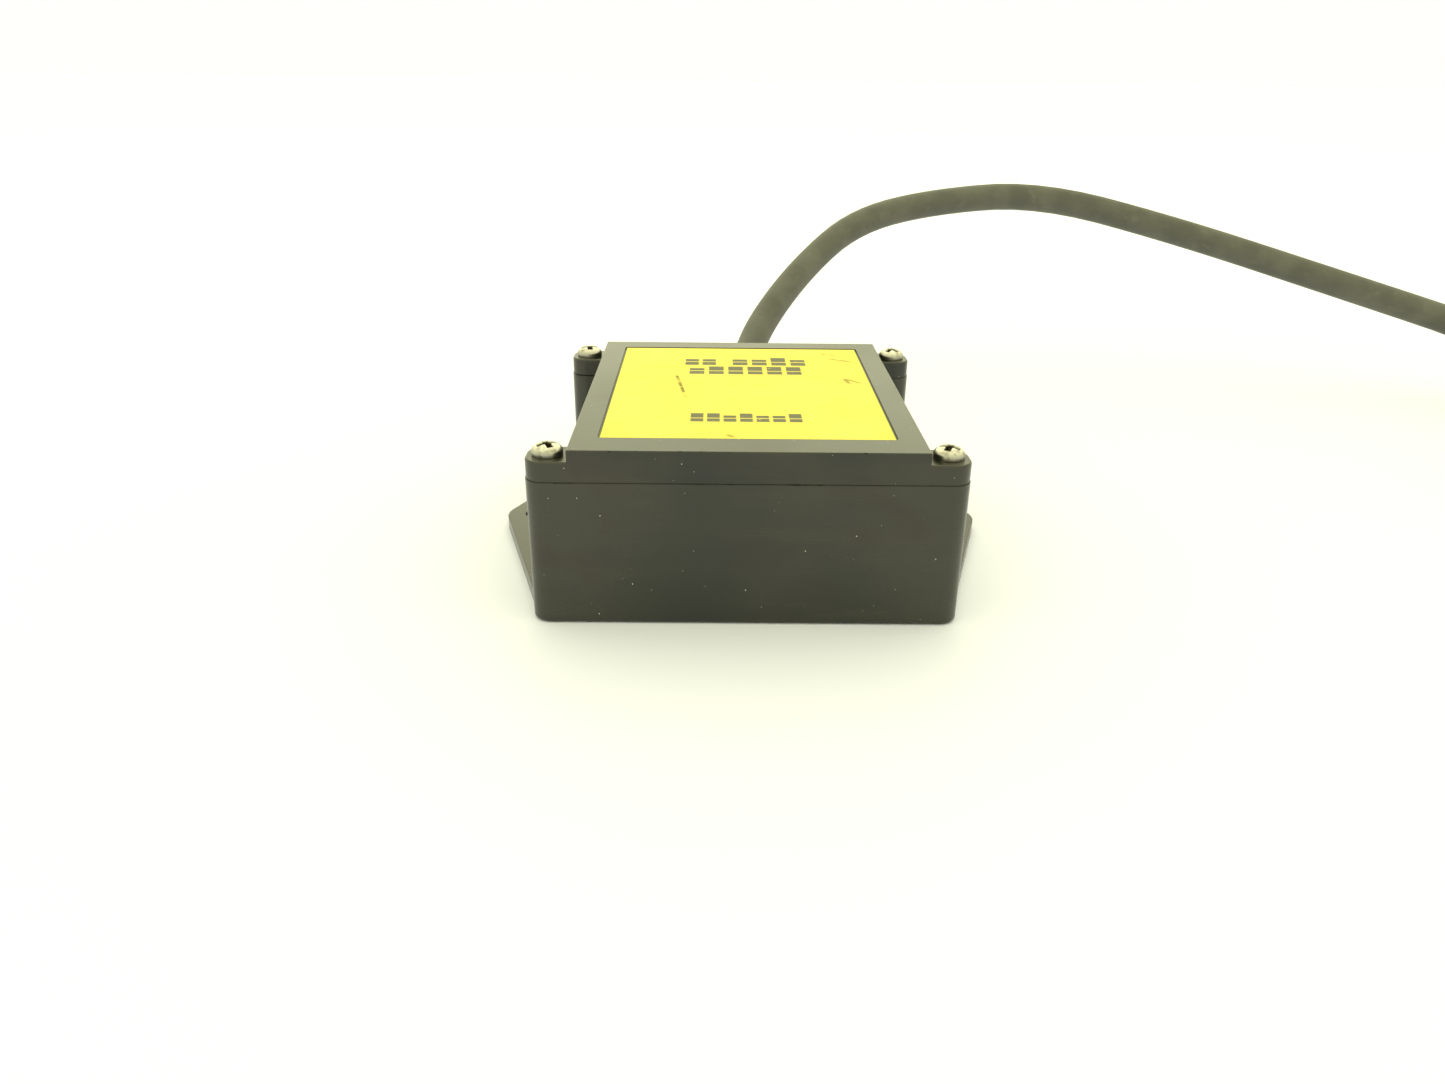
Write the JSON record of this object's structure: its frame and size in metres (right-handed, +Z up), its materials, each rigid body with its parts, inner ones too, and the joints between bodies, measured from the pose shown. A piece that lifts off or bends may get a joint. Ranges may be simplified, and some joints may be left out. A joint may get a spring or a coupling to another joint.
{
  "type": "rfid card reader",
  "caption": "Industrial card reader: black screwed box with corner ears, side mounting lugs, a yellow label over its aerial, a rear cable gland and a coiled cable with a round plug.",
  "frame": {"origin": "middle of the flat underside of the base", "axes": "+Z up through the lid, +Y towards the back, where the cable leaves, +X to the right seen from the front"},
  "size_m": [0.391, 0.2493, 0.0621],
  "materials": {
    "case_plastic": "moulded, slightly satin, black",
    "gasket_rubber": "soft black rubber",
    "label_yellow": "printed film, yellow, satin",
    "brass": "turned brass",
    "board_green": "green solder mask over glass laminate",
    "spacer_metal": "nickel-plated hexagon bar",
    "chip_black": "moulded epoxy",
    "can_metal": "drawn tin-plated can",
    "capacitor_metal": "aluminium can",
    "header_plastic": "natural nylon",
    "ferrite_grey": "sintered ferrite",
    "former_plastic": "natural moulded plastic",
    "copper_wire": "enamelled copper wire",
    "screw_steel": "plated steel, slightly stained",
    "gland_plastic": "black nylon",
    "cable_jacket": "matt black cable jacket",
    "tie_fabric": "black hook-and-loop strap",
    "plug_plastic": "black moulded grip",
    "pin_gold": "gold-plated contact",
    "ring_metal": "nickel-plated knurled ring",
    "wire_red": "red insulation",
    "wire_black": "black insulation",
    "wire_green": "green insulation",
    "wire_white": "white insulation"
  },
  "bodies": {
    "base": {"base_housing": "case_plastic", "lid_gasket": "gasket_rubber", "threaded_inserts": "brass", "main_circuit_board": "board_green", "board_spacers": "spacer_metal", "microcontroller": "chip_black", "reader_chip": "chip_black", "line_driver_chip": "chip_black", "crystal": "can_metal", "capacitors": "capacitor_metal", "voltage_regulator": "chip_black", "wire_header": "header_plastic", "wire_plug": "header_plastic", "antenna_board": "board_green", "ferrite_sheet": "ferrite_grey", "coil_former": "former_plastic", "antenna_coil": "copper_wire", "antenna_leads": "copper_wire", "antenna_screws": "screw_steel", "gland_body": "gland_plastic", "gland_washer": "gasket_rubber", "gland_lock_nut": "gland_plastic", "gland_seal": "gasket_rubber", "cable_entry": "cable_jacket", "cable_free_run": "cable_jacket", "cable_coil": "cable_jacket", "cable_tail": "cable_jacket", "coil_tie": "tie_fabric", "plug_grip": "plug_plastic", "plug_insert": "plug_plastic", "contact_pins": "pin_gold", "wire_red": "wire_red", "wire_black": "wire_black", "wire_green": "wire_green", "wire_white": "wire_white"},
    "lid": {"lid": "case_plastic", "label": "label_yellow"},
    "dome_nut": {"gland_dome_nut": "gland_plastic"},
    "coupling_ring": {"coupling_ring": "ring_metal"},
    "screw_front_left": {"lid_screw_front_left": "screw_steel"},
    "screw_front_right": {"lid_screw_front_right": "screw_steel"},
    "screw_rear_left": {"lid_screw_rear_left": "screw_steel"},
    "screw_rear_right": {"lid_screw_rear_right": "screw_steel"}
  },
  "joints": [
    {"name": "lid_lift", "type": "slide", "parent": "base", "child": "lid", "axis": [0, 0, 1], "range_m": [0, 0.045]},
    {"name": "screw_turn_front_left", "type": "hinge", "parent": "lid", "child": "screw_front_left", "pos_m": [-0.0368, -0.0354, 0.0327], "axis": [0, 0, 1], "continuous": true},
    {"name": "screw_turn_front_right", "type": "hinge", "parent": "lid", "child": "screw_front_right", "pos_m": [0.0368, -0.0354, 0.0327], "axis": [0, 0, 1], "continuous": true},
    {"name": "screw_turn_rear_left", "type": "hinge", "parent": "lid", "child": "screw_rear_left", "pos_m": [-0.0368, 0.0354, 0.0327], "axis": [0, 0, 1], "continuous": true},
    {"name": "screw_turn_rear_right", "type": "hinge", "parent": "lid", "child": "screw_rear_right", "pos_m": [0.0368, 0.0354, 0.0327], "axis": [0, 0, 1], "continuous": true},
    {"name": "dome_nut_turn", "type": "hinge", "parent": "base", "child": "dome_nut", "pos_m": [0, 0.052, 0.0175], "axis": [0, 1, 0], "continuous": true},
    {"name": "coupling_ring_turn", "type": "hinge", "parent": "base", "child": "coupling_ring", "pos_m": [0.2805, -0.0564, 0.0076], "axis": [-0.809, -0.5878, 0], "continuous": true}
  ]
}
